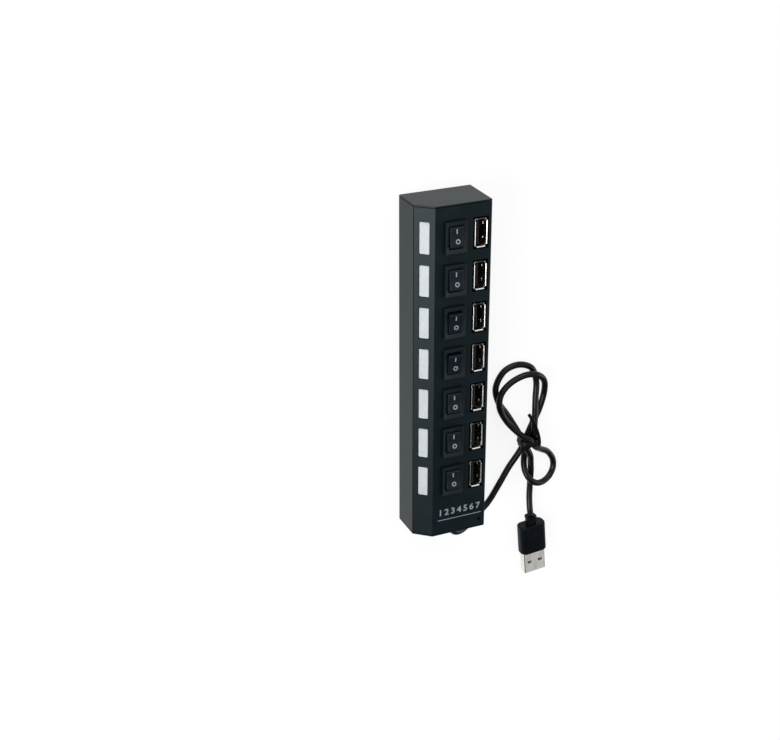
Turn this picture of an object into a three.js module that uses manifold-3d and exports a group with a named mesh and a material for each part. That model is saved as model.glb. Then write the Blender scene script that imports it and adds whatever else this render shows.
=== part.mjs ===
// A seven-socket USB hub with a rocker switch and a light window for each socket.
// Millimetres, +Z up. The hub lies on its back: X runs across the panel, Y runs from the
// lead end (-Y) to the plain end (+Y), Z runs from the back (z = 0) out through the panel.
import * as THREE from 'three';
import { mergeVertices } from 'three/addons/utils/BufferGeometryUtils.js';
import Module from 'manifold-3d';

const wasm = await Module();
wasm.setup();

// Case
const bodyWidth = 35.5;
const bodyLength = 166.6;
const bodyDepth = 22.5;
const chamferWidth = 7.6;
const chamferDepth = 6.5;
const wall = 2;
const seamGap = 0.3;
const backCornerRadius = 0.6;
const panelCornerRadius = 0.7;
const chamferCornerRadius = 0.4;

// Lip of the front cover that locates in the rear shell
const lipThickness = 0.9;
const lipDepth = 1.8;
const lipClearance = 0.2;

// End caps
const capThickness = 2;
const capRimThickness = 0.6;
const capEdgeRadius = 0.3;
const skirtDepth = 2.6;
const skirtWall = 1.2;
const skirtClearance = 0.25;

// The seven stations along the panel
const stationCount = 7;
const stationPitch = 20.3;
const firstStationFromTop = 15;
const switchX = -0.5;

// Rocker switch
const bezelSideOverhang = 1;
const bezelEndOverhang = 0.45;
const bezelHeight = 1.8;
const bezelRim = 0.3;
const bezelSlopeDepth = 0.4;
const bezelSeatGap = 0.15;
const switchSideWall = 0.7;
const switchEndWall = 1.55;
const switchBodyDepth = 12;
const switchCutClearance = 0.15;
const switchWellDepth = 6;
const snapWidth = 3;
const snapReach = 0.5;
const snapHeight = 1.8;
const rockerWidth = 6.7;
const rockerLength = 9.8;
const rockerRise = 3.4;
const rockerDish = 0.35;
const rockerSideGap = 0.2;
const rockerEndGap = 0.6;
const rockerPivotBelowPanel = 0.6;
const rockerPinRadius = 1;
const rockerPinClearance = 0.2;
const rockerPinEngagement = 0.5;
const rockerTilt = THREE.MathUtils.degToRad(6);
const stationsSwitchedOn = [0, 1, 4, 5, 6];

// USB-A socket
const socketWallGap = 0.55;
const shellWidth = 5.7;
const shellLength = 13.1;
const shellWall = 0.3;
const shellCornerRadius = 0.8;
const lipFlare = 0.65;
const lipProud = 0.2;
const lipCornerSetback = 1.2;
const socketCutClearance = 0.4;
const tongueThickness = 1.8;
const tongueWidth = 11.1;
const tongueOffset = -1.2;
const tongueRecess = 1.6;
const tongueBaseHeight = 3;
const tongueClearance = 0.15;

// Light windows in the chamfer and the light board behind them
const windowWidth = 4.5;
const windowLength = 14.85;
const windowCornerRadius = 0.6;
const windowRecess = 0.3;
const windowClearance = 0.15;
const windowFlange = 0.8;
const windowFlangeThickness = 1;
const lightBoardWidth = 5;
const lightBoardThickness = 1;
const lightBoardHeight = 8.9;
const lightBoardWallGap = 0.35;
const lightBoardMargin = 6;
const lampSize = [2.8, 3.5, 1.6];
const ledgeWidth = 1.5;
const ledgeThickness = 1;
const pillarWidth = 1.2;
const pillarLength = 3;
const pillarStations = [0.5, 3, 5.5];

// Main board and what it carries
const boardHeight = 5.5;
const boardThickness = 1.6;
const boardLeft = -10;
const boardWallGap = 0.35;
const boardTopMargin = 6;
const boardBottomMargin = 11;
const seatGap = 0.2;
const ribThickness = 1.5;
const ribStations = [2.5, 4.5];
const chipSize = [3.9, 9.9, 1.5];
const chipSocketGap = 0.95;
const chipStations = [1.5, 4.5];
const crystalSize = [10.5, 4.5, 3.5];
const crystalX = 1;
const crystalStation = 3.5;
const capacitorRadius = 3.1;
const capacitorHeight = 7;
const capacitorX = 3;
const capacitorFromStation = 14;

// Case screws, in the gaps between stations
const panelScrewX = -6.6;
const screwStations = [0.5, 6.5];
const screwShankRadius = 1;
const screwHeadRadius = 2;
const screwHeadHeight = 1.4;
const screwLength = 12;
const screwClearance = 0.2;
const screwHeadInset = 0.3;
const crossSlot = [2.6, 0.5, 0.7];
const postRadius = 2.3;
const postHoleClearance = 0.3;
const sleeveRadius = 3.2;

// Small hole in the panel near the lead end
const pinholeRadius = 0.8;
const pinholeFromEnd = 4.4;
const pinholeFromSide = 3.25;

// Strain relief and lead
const leadX = 6.5;
const leadHeight = 8;
const leadDiameter = 3.2;
const leadSides = 8;
const leadSteps = 80;
const touchGap = 0.3;
const bootBaseRadius = 3;
const bootTipRadius = 2.2;
const bootLength = 3;
const bootNeckRadius = 2.6;
const bootFlangeRadius = 3.5;
const bootFlangeThickness = 1.5;
const bootClearance = 0.2;

// Plug
const plugOrigin = [53.7, -96.4, 4.1];
const plugYaw = THREE.MathUtils.degToRad(5);
const gripWidth = 14.4;
const gripThickness = 7.6;
const gripLength = 16.2;
const gripCornerRadius = 3;
const gripEdgeRadius = 0.7;
const collarLength = 4.5;
const collarWidth = 5;
const collarThickness = 4.8;
const collarFlangeLength = 1.2;
const collarFlangeReach = 0.3;
const collarCornerRadius = 1.4;
const plugShellWidth = 12;
const plugShellHeight = 4.5;
const plugShellWall = 0.3;
const plugShellCornerRadius = 0.5;
const plugShellReach = 11.7;
const plugShellBuried = 4.5;
const plugShellClearance = 0.15;
const plugWindow = [2.2, 1.5];
const plugWindowSpacing = 6;
const plugWindowFromTip = 6;
const plugTongueThickness = 1.9;
const plugTongueRecess = 0.6;
const plugTongueClearance = 0.12;

// Twist tie
const tieCentre = [50.7, -54.1, 5.6];
const tieInner = [10.6, 9.6];
const tieThickness = 0.6;
const tieCornerRadius = 3.4;
const tieBandWidth = 2.6;
const tieTailWidth = 1.8;
const tieTailPoints = [
  [53.3, -54.1, 10.7],
  [55.1, -51.2, 10.9],
  [53.6, -46.4, 10.6],
  [49.9, -41.4, 10.9],
];

// Route of the lead's centre line, from the strain relief to the plug.
const leadRoute = [
  [6.6, -89.2, 7.9], [7.8, -92.2, 7.2], [10.2, -94.4, 6.2],
  [13.6, -95.2, 4.9], [17.6, -94.2, 3.5], [24.1, -89.8, 2.0],
  [30.1, -84.7, 1.7], [36.3, -75.2, 1.8], [41.3, -66.4, 2.2],
  [45.5, -59.3, 3.4], [48.2, -55.1, 3.3], [50.5, -51.0, 2.4],
  [53.4, -45.6, 1.8], [57.3, -37.6, 1.8], [59.8, -28.0, 1.9],
  [58.2, -20.9, 3.8], [53.4, -16.5, 5.3], [47.1, -15.7, 5.2],
  [39.7, -18.7, 4.4], [34.3, -23.5, 5.0], [33.3, -29.7, 5.2],
  [37.1, -38.1, 4.9], [43.5, -45.8, 7.0], [49.6, -50.8, 8.4],
  [53.0, -55.1, 7.1], [57.4, -58.4, 4.8], [63.3, -62.7, 2.3],
  [66.5, -67.8, 1.8], [66.6, -72.4, 2.1], [63.9, -76.4, 3.0],
  [59.6, -77.9, 4.3], [55.2, -77.1, 5.2], [51.6, -74.0, 4.8],
  [50.1, -70.2, 3.0], [49.8, -65.2, 1.9], [50.3, -59.3, 2.2],
  [52.1, -55.3, 3.2], [53.1, -51.3, 4.8], [53.3, -42.6, 5.1],
  [54.5, -31.0, 2.8], [55.0, -21.3, 1.8], [52.0, -14.0, 1.7],
  [44.7, -11.1, 1.7], [37.3, -13.2, 1.7], [32.9, -20.9, 1.7],
  [34.3, -28.9, 1.7], [39.3, -36.7, 1.8], [44.1, -45.0, 2.5],
  [46.9, -51.3, 5.5], [48.4, -55.3, 6.8], [50.4, -59.4, 7.0],
  [51.8, -64.6, 5.4], [53.5, -70.5, 2.9], [54.0, -77.8, 1.7],
  [53.6, -86.8, 2.3], [53.4, -92.8, 3.7],
];

// Places worked out from the sizes above
const partingZ = bodyDepth - chamferDepth;
const tubeEnd = bodyLength / 2 - capRimThickness - seamGap;
const chamferAngle = Math.atan2(chamferDepth, chamferWidth);
const stationY = (station) => bodyLength / 2 - firstStationFromTop - station * stationPitch;
const stations = Array.from({ length: stationCount }, (_, station) => station);
const socketX = bodyWidth / 2 - wall - socketWallGap - shellWidth / 2;
const chipX = socketX - shellWidth / 2 - chipSocketGap - chipSize[0] / 2;
const boardTop = boardHeight + boardThickness;
const boardRight = bodyWidth / 2 - wall - boardWallGap;
const wellWidth = rockerWidth + 2 * rockerSideGap;
const wellLength = rockerLength + 2 * rockerEndGap;
const switchBodyWidth = wellWidth + 2 * switchSideWall;
const switchBodyLength = wellLength + 2 * switchEndWall;
const bezelWidth = switchBodyWidth + 2 * bezelSideOverhang;
const bezelLength = switchBodyLength + 2 * bezelEndOverhang;
const reach = 400;

const part = new THREE.Group();

// Finishes
function finish(color, roughness, metalness) {
  return () => new THREE.MeshStandardMaterial({ color, roughness, metalness });
}

const caseBlack = finish(0x1d2126, 0.6, 0);
const switchBlack = finish(0x15181c, 0.35, 0);
const bootBlack = finish(0x17191c, 0.5, 0);
const windowWhite = finish(0xe2e6ea, 0.3, 0);
const brightSteel = finish(0xd8dadc, 0.2, 1);
const tongueBlack = finish(0x2c2b2e, 0.5, 0);
const boardGreen = finish(0x1d5a35, 0.45, 0);
const chipBlack = finish(0x222222, 0.5, 0);
const canSilver = finish(0xb9bcc0, 0.3, 1);
const tieBlack = finish(0x101114, 0.4, 0);

// Solids: a geometry becomes a manifold solid, is joined and cut, and goes back to a geometry
function solid(geometry) {
  const bare = geometry.clone();
  bare.deleteAttribute('normal');
  bare.deleteAttribute('uv');
  const merged = mergeVertices(bare, 1e-4);
  return new wasm.Manifold(new wasm.Mesh({
    numProp: 3,
    vertProperties: Float32Array.from(merged.attributes.position.array),
    triVerts: Uint32Array.from(merged.index.array),
  }));
}

function geometryOf(manifold) {
  const mesh = manifold.getMesh();
  const geometry = new THREE.BufferGeometry();
  geometry.setAttribute('position', new THREE.BufferAttribute(mesh.vertProperties, 3));
  geometry.setIndex(new THREE.BufferAttribute(mesh.triVerts, 1));
  return geometry;
}

function join(...geometries) {
  return geometryOf(geometries.map(solid).reduce((whole, piece) => whole.add(piece)));
}

function cut(geometry, ...tools) {
  return geometryOf(tools.map(solid).reduce((whole, tool) => whole.subtract(tool), solid(geometry)));
}

function keep(geometry, region) {
  return geometryOf(solid(geometry).intersect(solid(region)));
}

// A box between two corners
function box([x0, y0, z0], [x1, y1, z1]) {
  const geometry = new THREE.BoxGeometry(x1 - x0, y1 - y0, z1 - z0);
  return geometry.translate((x0 + x1) / 2, (y0 + y1) / 2, (z0 + z1) / 2);
}

// A box with its base centred on a point
function block([x, y, z], [width, length, height]) {
  return box([x - width / 2, y - length / 2, z], [x + width / 2, y + length / 2, z + height]);
}

function cylinderZ(radius, [x, y], z0, z1, sides = 20) {
  const geometry = new THREE.CylinderGeometry(radius, radius, z1 - z0, sides);
  return geometry.rotateX(Math.PI / 2).translate(x, y, (z0 + z1) / 2);
}

function cylinderX(radius, [y, z], x0, x1, sides = 16) {
  const geometry = new THREE.CylinderGeometry(radius, radius, x1 - x0, sides);
  return geometry.rotateZ(Math.PI / 2).translate((x0 + x1) / 2, y, z);
}

function roundedRectangle(width, length, radius) {
  const [x, y] = [width / 2, length / 2];
  const corners = [[-x, -y], [x, -y], [x, y], [-x, y]];
  return roundedPolygon(corners, corners.map(() => radius));
}

// A polygon whose corners are rounded, each with its own radius
function roundedPolygon(corners, radii) {
  const shape = new THREE.Shape();
  corners.forEach((corner, i) => {
    const at = new THREE.Vector2(...corner);
    const before = new THREE.Vector2(...corners.at(i - 1)).sub(at).normalize();
    const after = new THREE.Vector2(...corners[(i + 1) % corners.length]).sub(at).normalize();
    const setback = radii[i] / Math.tan(before.angleTo(after) / 2);
    const start = before.multiplyScalar(setback).add(at);
    const end = after.multiplyScalar(setback).add(at);
    if (i === 0) shape.moveTo(start.x, start.y);
    else shape.lineTo(start.x, start.y);
    shape.quadraticCurveTo(at.x, at.y, end.x, end.y);
  });
  shape.closePath();
  return shape;
}

function extrude(shape, depth, options = {}) {
  return new THREE.ExtrudeGeometry(shape, { depth, bevelEnabled: false, curveSegments: 4, ...options });
}

// A section drawn in X and Z, extruded along Y
function extrudeY(shape, y0, y1, options) {
  return extrude(shape, y1 - y0, options).rotateX(Math.PI / 2).translate(0, y1, 0);
}

// A section drawn in Y and Z, extruded along X
function extrudeX(shape, x0, x1) {
  const axes = [[0, 1, 0], [0, 0, 1], [1, 0, 0]].map((axis) => new THREE.Vector3(...axis));
  const turn = new THREE.Matrix4().makeBasis(...axes);
  return extrude(shape, x1 - x0).applyMatrix4(turn).translate(x0, 0, 0);
}

// A convex solid through a row of outlines drawn in X and Z, each at its own Y
function loftY(outlines) {
  const rings = outlines.map(([outline, y]) => (
    outline.getPoints(4).slice(0, -1).map((point) => [point.x, y, point.y])
  ));
  const size = rings[0].length;
  const index = [];
  for (let i = 1; i < size - 1; i += 1) {
    const last = (rings.length - 1) * size;
    index.push(0, i, i + 1, last, last + i + 1, last + i);
  }
  for (let ring = 0; ring < rings.length - 1; ring += 1) {
    for (let i = 0; i < size; i += 1) {
      const [a, b] = [ring * size + i, ring * size + (i + 1) % size];
      index.push(a, a + size, b, b, a + size, b + size);
    }
  }
  const geometry = new THREE.BufferGeometry();
  geometry.setAttribute('position', new THREE.Float32BufferAttribute(rings.flat(2), 3));
  geometry.setIndex(index);
  return geometry;
}

// Steps round a quarter-circle edge: how far in from the side, how far back from the face
function edgeSteps(radius) {
  return [0, 30, 60, 90].map((degrees) => {
    const angle = THREE.MathUtils.degToRad(degrees);
    return [radius * (1 - Math.cos(angle)), radius * (1 - Math.sin(angle))];
  });
}

function add(name, geometry, material, parent = part) {
  const mesh = new THREE.Mesh(geometry, material());
  mesh.name = name;
  parent.add(mesh);
  return mesh;
}

// Case section: a rectangle with one corner cut off by the chamfer, drawn in by an inset
function caseSection(inset) {
  const left = -bodyWidth / 2 + inset;
  const right = bodyWidth / 2 - inset;
  const top = bodyDepth - inset;
  const slope = Math.tan(chamferAngle);
  const chamferZ = (x) => partingZ + (x + bodyWidth / 2) * slope - inset / Math.cos(chamferAngle);
  const chamferTopX = left + (top - chamferZ(left)) / slope;
  const corners = [[left, inset], [right, inset], [right, top], [chamferTopX, top], [left, chamferZ(left)]];
  const outer = [backCornerRadius, backCornerRadius, panelCornerRadius, chamferCornerRadius, chamferCornerRadius];
  return roundedPolygon(corners, outer.map((radius) => Math.max(radius - inset, 0.2)));
}

function caseTube(outerInset, innerInset, y0, y1) {
  return cut(
    extrudeY(caseSection(outerInset), y0, y1),
    extrudeY(caseSection(innerInset), y0 - wall, y1 + wall),
  );
}

// The chamfer's own frame: X up the slope from the parting edge, Z out of the face
function onChamfer(geometry, y) {
  return geometry
    .translate(Math.hypot(chamferWidth, chamferDepth) / 2, 0, 0)
    .rotateY(-chamferAngle)
    .translate(-bodyWidth / 2, y, partingZ);
}

const screwPlaces = [panelScrewX, socketX].flatMap((x) => screwStations.map((station) => [x, stationY(station)]));
const sleeveTop = boardHeight - seatGap;
const screwSeat = screwHeadInset + screwHeadHeight + screwClearance;

// Rear shell: back and both sides, with screw sleeves, ribs and the light board's ledge
function rearShell() {
  const tube = caseTube(0, wall, -tubeEnd, tubeEnd);
  const below = box([-reach, -reach, -reach], [reach, reach, partingZ - seamGap / 2]);
  const rebateInset = wall - lipThickness - lipClearance;
  const rebateFloor = partingZ - lipDepth - lipClearance;
  const rebate = keep(
    extrudeY(caseSection(rebateInset), -reach, reach),
    box([-reach, -reach, rebateFloor], [reach, reach, reach]),
  );
  const innerLeft = -bodyWidth / 2 + wall;
  const ledgeTop = lightBoardHeight - seatGap;
  const ledge = box(
    [innerLeft - wall / 2, stationY(stationCount - 1) - lightBoardMargin, ledgeTop - ledgeThickness],
    [innerLeft + ledgeWidth, stationY(0) + lightBoardMargin, ledgeTop],
  );
  const pillarX = innerLeft + lightBoardWallGap + lightBoardWidth - pillarWidth;
  const pillars = pillarStations.map((station) => block(
    [pillarX, stationY(station), wall / 2],
    [pillarWidth, pillarLength, ledgeTop - wall / 2],
  ));
  const ribs = ribStations.map((station) => box(
    [boardLeft + wall, stationY(station) - ribThickness / 2, wall / 2],
    [boardRight - wall, stationY(station) + ribThickness / 2, sleeveTop],
  ));
  const sleeves = screwPlaces.map((place) => cylinderZ(sleeveRadius, place, wall / 2, sleeveTop));
  const screwHoles = screwPlaces.flatMap((place) => [
    cylinderZ(screwShankRadius + screwClearance, place, -wall, sleeveTop + wall),
    cylinderZ(screwHeadRadius + screwClearance, place, -wall, screwSeat),
  ]);
  return cut(join(keep(cut(tube, rebate), below), ledge, ...pillars, ...ribs, ...sleeves), ...screwHoles);
}

// Front cover: panel and chamfer, with its cut-outs, locating lip and screw posts
function frontCover() {
  const tube = caseTube(0, wall, -tubeEnd, tubeEnd);
  const above = box([-reach, -reach, partingZ + seamGap / 2], [reach, reach, reach]);
  const lip = keep(
    caseTube(wall - lipThickness, wall, -tubeEnd, tubeEnd),
    box([-reach, -reach, partingZ - lipDepth], [reach, reach, partingZ + wall]),
  );
  const posts = screwPlaces.map((place) => cylinderZ(
    postRadius,
    place,
    sleeveTop + seatGap,
    bodyDepth - wall / 2,
  ));
  const pilotHoles = screwPlaces.map((place) => cylinderZ(
    screwShankRadius + screwClearance,
    place,
    sleeveTop,
    screwSeat + screwLength + seatGap,
  ));
  const switchCuts = stations.map((station) => block(
    [switchX, stationY(station), bodyDepth - 2 * wall],
    [switchBodyWidth + 2 * switchCutClearance, switchBodyLength + 2 * switchCutClearance, 3 * wall],
  ));
  const socketCuts = stations.map((station) => block(
    [socketX, stationY(station), bodyDepth - 2 * wall],
    [
      shellWidth + 2 * (lipFlare + socketCutClearance),
      shellLength + 2 * (lipFlare + socketCutClearance),
      3 * wall,
    ],
  ));
  const windowCuts = stations.map((station) => onChamfer(
    windowPrism(windowClearance, -2 * wall, wall),
    stationY(station),
  ));
  const pinhole = cylinderZ(
    pinholeRadius,
    [bodyWidth / 2 - pinholeFromSide, -bodyLength / 2 + pinholeFromEnd],
    bodyDepth - 2 * wall,
    bodyDepth + wall,
    12,
  );
  return cut(
    join(keep(tube, above), lip, ...posts),
    ...pilotHoles,
    ...switchCuts,
    ...socketCuts,
    ...windowCuts,
    pinhole,
  );
}

// End cap: a plate with a thin rim over the case's end and a skirt that fits inside the case
function endCap(towards) {
  const rimInner = bodyLength / 2 - capRimThickness;
  const rimMiddle = rimInner + capRimThickness / 2;
  const rounded = edgeSteps(capEdgeRadius).map(([inset, back]) => [caseSection(inset), bodyLength / 2 - back]);
  const rim = loftY([[caseSection(0), rimInner], ...rounded]);
  const skirtInset = wall + skirtClearance;
  const plate = extrudeY(caseSection(skirtInset), bodyLength / 2 - capThickness, rimMiddle);
  const skirt = caseTube(skirtInset, skirtInset + skirtWall, tubeEnd - skirtDepth, rimMiddle);
  const cap = join(rim, plate, skirt);
  if (towards > 0) return cap;
  const mirrored = geometryOf(solid(cap).mirror([0, 1, 0]));
  return cut(mirrored, bootHole());
}

// Passage for the strain relief through the lead end cap
function bootHole() {
  const hole = new THREE.CylinderGeometry(
    bootNeckRadius + bootClearance,
    bootNeckRadius + bootClearance,
    4 * capThickness,
    20,
  );
  return hole.translate(leadX, -bodyLength / 2, leadHeight);
}

// Light window: a prism the shape of the opening, measured in the chamfer's frame
function windowPrism(clearance, z0, z1) {
  const outline = roundedRectangle(windowWidth + 2 * clearance, windowLength + 2 * clearance, windowCornerRadius);
  return extrude(outline, z1 - z0).translate(0, 0, z0);
}

function lightWindow() {
  const flangeTop = -wall - windowClearance;
  const flange = windowPrism(windowFlange, flangeTop - windowFlangeThickness, flangeTop);
  return join(windowPrism(0, flangeTop - windowFlangeThickness / 2, -windowRecess), flange);
}

// Switch housing: frame sloping in to the well, with the body, snaps and pivot holes
function switchHousing() {
  const bezel = block([0, 0, bezelSeatGap], [bezelWidth, bezelLength, bezelHeight - bezelSeatGap]);
  const body = block([0, 0, -switchBodyDepth], [switchBodyWidth, switchBodyLength, switchBodyDepth + bezelHeight / 2]);
  const snaps = [-1, 1].map((side) => {
    const wedge = new THREE.Shape();
    const face = side * (switchBodyLength / 2 - snapReach);
    wedge.moveTo(face, -wall - seatGap);
    wedge.lineTo(face + side * 2 * snapReach, -wall - seatGap);
    wedge.lineTo(face, -wall - seatGap - 2 * snapHeight);
    wedge.closePath();
    return extrudeX(wedge, -snapWidth / 2, snapWidth / 2);
  });
  const well = block([0, 0, -switchWellDepth], [wellWidth, wellLength, 2 * switchWellDepth]);
  const slopeBottom = bezelHeight - bezelSlopeDepth;
  const funnel = frustum(
    [wellWidth, wellLength],
    [bezelWidth - 2 * bezelRim, bezelLength - 2 * bezelRim],
    slopeBottom,
    bezelHeight,
  );
  const above = block([0, 0, bezelHeight - 0.001], [bezelWidth - 2 * bezelRim, bezelLength - 2 * bezelRim, 1]);
  const pivot = cylinderX(
    rockerPinRadius + rockerPinClearance,
    [0, -rockerPivotBelowPanel],
    -switchBodyWidth / 2,
    switchBodyWidth / 2,
  );
  return cut(join(bezel, body, ...snaps), well, funnel, above, pivot);
}

// A straight-sided frustum between two rectangles
function frustum([width0, length0], [width1, length1], z0, z1) {
  const geometry = new THREE.BoxGeometry(1, 1, 1);
  const position = geometry.attributes.position;
  for (let i = 0; i < position.count; i += 1) {
    const upper = position.getZ(i) > 0;
    position.setXYZ(
      i,
      position.getX(i) * (upper ? width1 : width0),
      position.getY(i) * (upper ? length1 : length0),
      upper ? z1 : z0,
    );
  }
  return geometry;
}

// Rocker about its pivot: a top of two slopes, ends that draw in, and a pin on each side
function rocker() {
  const end = rockerLength / 2;
  const profile = new THREE.Shape();
  profile.moveTo(-end, rockerRise);
  profile.lineTo(-end * 0.92, -rockerPinRadius);
  profile.quadraticCurveTo(0, -2 * rockerRise, end * 0.92, -rockerPinRadius);
  profile.lineTo(end, rockerRise);
  profile.lineTo(0, rockerRise - rockerDish);
  profile.closePath();
  const paddle = extrudeX(profile, -rockerWidth / 2, rockerWidth / 2);
  const pinReach = rockerWidth / 2 + rockerSideGap + rockerPinEngagement;
  return join(paddle, cylinderX(rockerPinRadius, [0, 0], -pinReach, pinReach));
}

// Socket shell: a formed sheet tube standing on the board, with a flared lip on each side
function socketShell() {
  const bottom = boardTop + seatGap;
  const top = bodyDepth + lipProud;
  const bend = top - lipFlare;
  const ring = roundedRectangle(shellWidth, shellLength, shellCornerRadius);
  const bore = roundedRectangle(
    shellWidth - 2 * shellWall,
    shellLength - 2 * shellWall,
    shellCornerRadius - shellWall,
  );
  const tube = cut(
    extrude(ring, bend - bottom).translate(0, 0, bottom),
    extrude(bore, bend - bottom + 2).translate(0, 0, bottom - 1),
  );
  const lips = [0, 1, 2, 3].map((side) => {
    const across = side % 2 === 0;
    const out = (across ? shellWidth : shellLength) / 2;
    const half = (across ? shellLength : shellWidth) / 2 - lipCornerSetback;
    const strip = new THREE.Shape();
    strip.moveTo(out - shellWall, bend - shellWall);
    strip.lineTo(out, bend - shellWall);
    strip.lineTo(out + lipFlare, top);
    strip.lineTo(out + lipFlare - shellWall, top);
    strip.closePath();
    return extrudeY(strip, -half, half).rotateZ(side * Math.PI / 2);
  });
  return join(tube, ...lips);
}

// Socket tongue: a blade that carries the contacts, on a base that fills the shell's foot
function socketTongue() {
  const foot = boardTop + 2 * seatGap;
  const base = block([0, 0, foot], [
    shellWidth - 2 * (shellWall + tongueClearance),
    shellLength - 2 * (shellCornerRadius + tongueClearance),
    tongueBaseHeight,
  ]);
  const blade = block([tongueOffset, 0, foot + tongueBaseHeight / 2], [
    tongueThickness,
    tongueWidth,
    bodyDepth - tongueRecess - foot - tongueBaseHeight / 2,
  ]);
  return join(base, blade);
}

// Main board, with a hole for each screw post
function mainBoard() {
  const board = box(
    [boardLeft, -bodyLength / 2 + boardBottomMargin, boardHeight],
    [boardRight, bodyLength / 2 - boardTopMargin, boardTop],
  );
  const holes = screwPlaces.map((place) => cylinderZ(
    postRadius + postHoleClearance,
    place,
    boardHeight - 1,
    boardTop + 1,
  ));
  return cut(board, ...holes);
}

// Light board: a strip with one lamp under each window
function lightBoard() {
  const left = -bodyWidth / 2 + wall + lightBoardWallGap;
  const strip = box(
    [left, stationY(stationCount - 1) - lightBoardMargin, lightBoardHeight],
    [left + lightBoardWidth, stationY(0) + lightBoardMargin, lightBoardHeight + lightBoardThickness],
  );
  const lamps = stations.map((station) => block(
    [left + lightBoardWidth / 2, stationY(station), lightBoardHeight + lightBoardThickness / 2],
    [lampSize[0], lampSize[1], lampSize[2] + lightBoardThickness / 2],
  ));
  return join(strip, ...lamps);
}

// Case screw: pan head with a cross slot, driven up from the back
function caseScrew(place) {
  const headTop = screwHeadInset + screwHeadHeight;
  const slots = [crossSlot, [crossSlot[1], crossSlot[0], crossSlot[2]]].map(([width, length, depth]) => (
    block([...place, screwHeadInset - depth], [width, length, 2 * depth])
  ));
  return cut(
    join(
      cylinderZ(screwHeadRadius, place, screwHeadInset, headTop, 16),
      cylinderZ(screwShankRadius, place, headTop - 0.5, screwHeadInset + screwLength, 12),
    ),
    ...slots,
  );
}

// Strain relief: a flange inside the cap, a neck through it and a tapered boot outside
function strainRelief() {
  const capInner = bodyLength / 2 - capThickness - bootClearance;
  const capOuter = bodyLength / 2 + bootClearance;
  const profile = [
    [0, capInner - bootFlangeThickness],
    [bootFlangeRadius, capInner - bootFlangeThickness],
    [bootFlangeRadius, capInner],
    [bootNeckRadius, capInner],
    [bootNeckRadius, capOuter],
    [bootBaseRadius, capOuter],
    [bootTipRadius, capOuter + bootLength],
    [0, capOuter + bootLength],
  ].map(([radius, along]) => new THREE.Vector2(radius, along));
  return new THREE.LatheGeometry(profile, 20).rotateZ(Math.PI).translate(leadX, 0, leadHeight);
}

const bootTip = [leadX, -bodyLength / 2 - bootClearance - bootLength, leadHeight];

// The plug's frame: origin where the lead enters the collar, -Y along the plug
const plug = new THREE.Group();
plug.position.set(...plugOrigin);
plug.rotation.z = plugYaw;
part.add(plug);

function plugGrip() {
  const gripEnd = -collarLength - gripLength;
  const steps = edgeSteps(gripEdgeRadius);
  const outline = (inset) => (
    roundedRectangle(gripWidth - 2 * inset, gripThickness - 2 * inset, gripCornerRadius - inset)
  );
  const body = loftY([
    ...steps.toReversed().map(([inset, back]) => [outline(inset), gripEnd + back]),
    ...steps.map(([inset, back]) => [outline(inset), -collarLength - back]),
  ]);
  const neck = extrudeY(
    roundedRectangle(collarWidth, collarThickness, collarCornerRadius),
    -collarLength - gripEdgeRadius,
    -collarFlangeLength / 2,
  );
  const flange = extrudeY(
    roundedRectangle(
      collarWidth + 2 * collarFlangeReach,
      collarThickness + 2 * collarFlangeReach,
      collarCornerRadius + collarFlangeReach,
    ),
    -collarFlangeLength,
    0,
  );
  const pocket = extrudeY(
    roundedRectangle(
      plugShellWidth + 2 * plugShellClearance,
      plugShellHeight + 2 * plugShellClearance,
      plugShellCornerRadius,
    ),
    gripEnd - 1,
    gripEnd + plugShellBuried + plugShellClearance,
  );
  return cut(join(body, neck, flange), pocket);
}

const plugTip = -collarLength - gripLength - plugShellReach;
const plugShellEnd = -collarLength - gripLength + plugShellBuried;

function plugShell() {
  const outer = extrudeY(
    roundedRectangle(plugShellWidth, plugShellHeight, plugShellCornerRadius),
    plugTip,
    plugShellEnd,
  );
  const bore = extrudeY(
    roundedRectangle(plugShellWidth - 2 * plugShellWall, plugShellHeight - 2 * plugShellWall, 0.2),
    plugTip - 1,
    plugShellEnd + 1,
  );
  const windows = [-1, 1].map((side) => block(
    [side * plugWindowSpacing / 2, plugTip + plugWindowFromTip, -plugShellHeight],
    [plugWindow[0], plugWindow[1], 2 * plugShellHeight],
  ));
  return cut(outer, bore, ...windows);
}

function plugTongue() {
  const width = plugShellWidth - 2 * (plugShellWall + plugTongueClearance);
  const floor = -plugShellHeight / 2 + plugShellWall + plugTongueClearance;
  const ceiling = plugShellHeight / 2 - plugShellWall - plugTongueClearance;
  return join(
    box([-width / 2, plugTip + plugTongueRecess, floor], [width / 2, plugShellEnd, floor + plugTongueThickness]),
    box([-width / 2, plugShellEnd - plugShellBuried, floor], [width / 2, plugShellEnd, ceiling]),
  );
}

// Lead: one tube from the strain relief's tip to the collar
function lead() {
  const along = new THREE.Vector3(Math.sin(plugYaw), -Math.cos(plugYaw), 0);
  const start = new THREE.Vector3(...bootTip).add(new THREE.Vector3(0, -touchGap, 0));
  const end = new THREE.Vector3(...plugOrigin).addScaledVector(along, -touchGap);
  const middle = leadRoute.map((point) => new THREE.Vector3(...point));
  const curve = new THREE.CatmullRomCurve3([start, ...middle, end]);
  const section = new THREE.Shape();
  for (let side = 0; side <= leadSides; side += 1) {
    const angle = (side * 2 * Math.PI) / leadSides;
    const point = [leadDiameter / 2 * Math.cos(angle), leadDiameter / 2 * Math.sin(angle)];
    if (side === 0) section.moveTo(...point);
    else section.lineTo(...point);
  }
  return new THREE.ExtrudeGeometry(section, {
    steps: leadSteps,
    extrudePath: curve,
    bevelEnabled: false,
  });
}

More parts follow.
